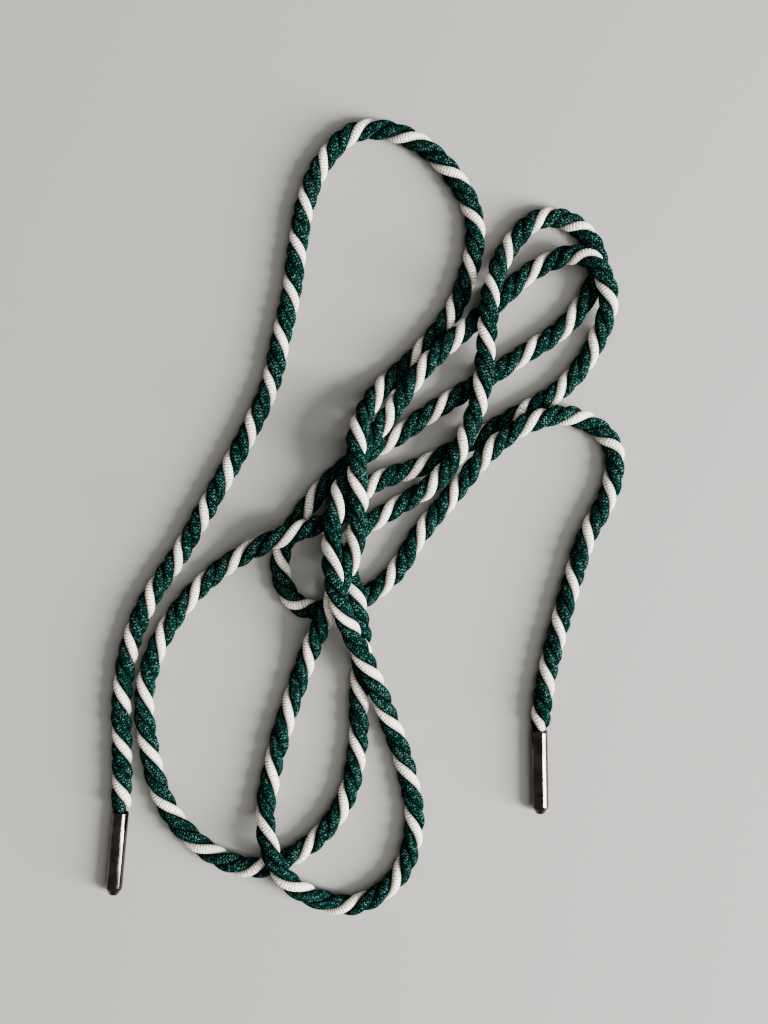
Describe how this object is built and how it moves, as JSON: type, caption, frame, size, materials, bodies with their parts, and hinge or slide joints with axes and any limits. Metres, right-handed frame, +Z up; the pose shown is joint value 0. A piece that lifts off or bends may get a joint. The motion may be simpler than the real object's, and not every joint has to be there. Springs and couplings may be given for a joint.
{
  "type": "cord tie belt",
  "caption": "Long twisted three-strand cord belt laid in loose loops, with a slim metal end on each end of the cord.",
  "frame": {"origin": "middle of the laid belt, on the surface it lies on", "axes": "+Z up from the surface, +Y from the metal ends towards the top loop, +X to the right seen from above"},
  "size_m": [0.1733, 0.2649, 0.0236],
  "materials": {
    "cord": "two deep green strands and one ivory strand, finely ribbed",
    "cord_end": "polished gunmetal"
  },
  "bodies": {
    "root": {"cord": "cord", "cord_end_left": "cord_end", "cord_end_right": "cord_end"}
  },
  "joints": []
}
